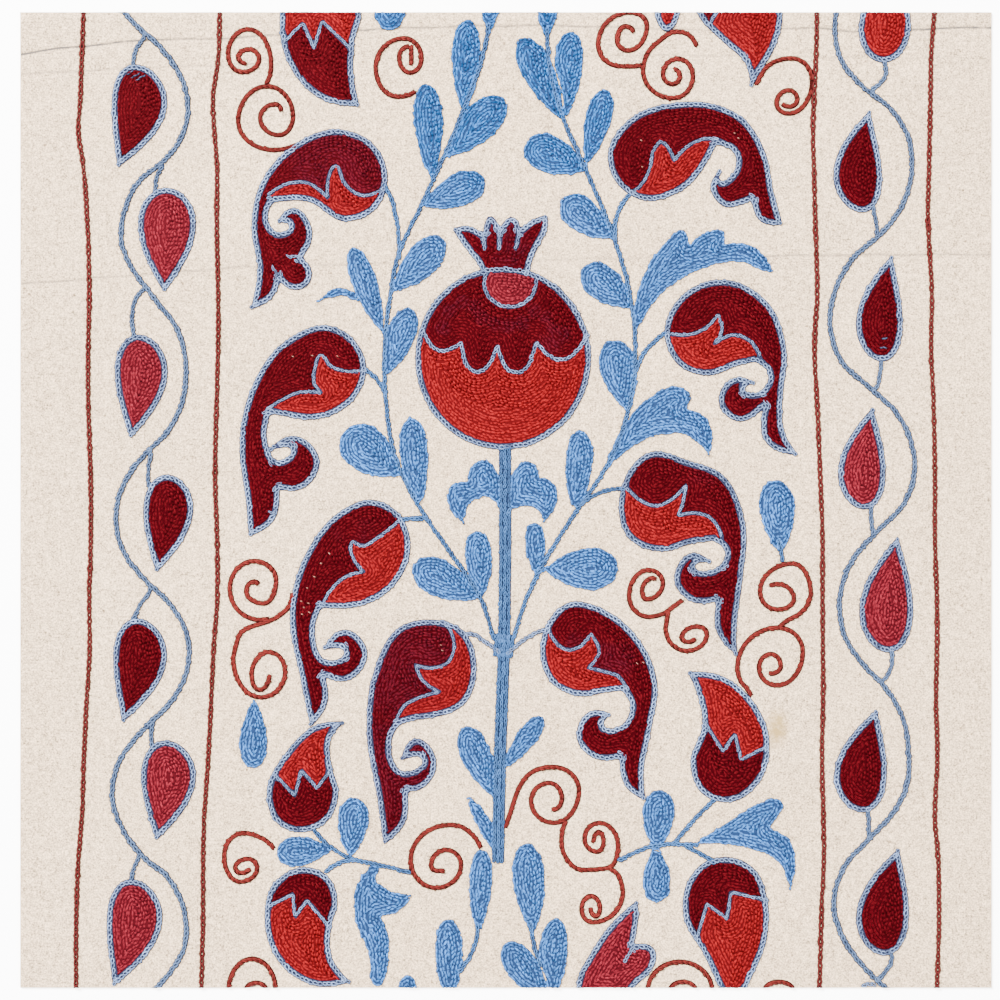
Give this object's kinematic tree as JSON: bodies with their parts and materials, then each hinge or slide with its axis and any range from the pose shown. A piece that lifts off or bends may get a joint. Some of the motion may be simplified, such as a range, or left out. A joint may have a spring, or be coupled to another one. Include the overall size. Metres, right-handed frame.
{
  "type": "suzani embroidered textile",
  "caption": "Cut length of ivory cotton cloth, hand embroidered with a pomegranate, curled paisleys, buds, leaves and scrolls between borders of drops on a wavy vine.",
  "frame": {"origin": "centre of the cloth's flat underside, on the surface it lies on", "axes": "+Z out of the embroidered face, +Y to the top edge of the pattern, +X to its right"},
  "size_m": [0.4374, 0.4392, 0.0021],
  "materials": {
    "ivory_cotton": "plain weave cotton, matte",
    "crimson_silk": "silk chain stitch, soft sheen",
    "scarlet_silk": "silk chain stitch, soft sheen",
    "rose_silk": "silk chain stitch, soft sheen",
    "blue_silk": "silk chain stitch, soft sheen",
    "brick_silk": "silk chain stitch, soft sheen"
  },
  "bodies": {
    "root": {"ground_cloth": "ivory_cotton", "border_line_1": "brick_silk", "border_line_2": "brick_silk", "border_line_3": "brick_silk", "border_line_4": "brick_silk", "branch_left": "blue_silk", "branch_right": "blue_silk", "bud_bottom": "rose_silk", "bud_left_1": "scarlet_silk", "bud_left_2": "scarlet_silk", "bud_right_1": "scarlet_silk", "bud_right_2": "scarlet_silk", "bud_top_left": "scarlet_silk", "bud_top_middle": "scarlet_silk", "bud_top_right": "scarlet_silk", "drop_left_1": "crimson_silk", "drop_left_2": "rose_silk", "drop_left_3": "rose_silk", "drop_left_4": "crimson_silk", "drop_left_5": "crimson_silk", "drop_left_6": "rose_silk", "drop_left_7": "rose_silk", "drop_right_1": "scarlet_silk", "drop_right_2": "crimson_silk", "drop_right_3": "crimson_silk", "drop_right_4": "rose_silk", "drop_right_5": "rose_silk", "drop_right_6": "crimson_silk", "drop_right_7": "crimson_silk", "leaf_bottom": "blue_silk", "leaf_left": "blue_silk", "leaf_right": "blue_silk", "leaf_top": "blue_silk", "paisley_left_1": "crimson_silk", "paisley_left_2": "crimson_silk", "paisley_left_3": "crimson_silk", "paisley_left_4": "crimson_silk", "paisley_right_1": "crimson_silk", "paisley_right_2": "crimson_silk", "paisley_right_3": "crimson_silk", "paisley_right_4": "crimson_silk", "pomegranate": "scarlet_silk", "scroll_01": "brick_silk", "scroll_02": "brick_silk", "scroll_03": "brick_silk", "scroll_04": "brick_silk", "scroll_05": "brick_silk", "scroll_06": "brick_silk", "scroll_07": "brick_silk", "scroll_08": "brick_silk", "scroll_09": "brick_silk", "scroll_10": "brick_silk", "sprig_bottom_left": "blue_silk", "sprig_bottom_right": "blue_silk", "sprig_left": "blue_silk", "sprig_right": "blue_silk", "stem": "blue_silk", "vine_left": "blue_silk", "vine_right": "blue_silk"}
  },
  "joints": []
}
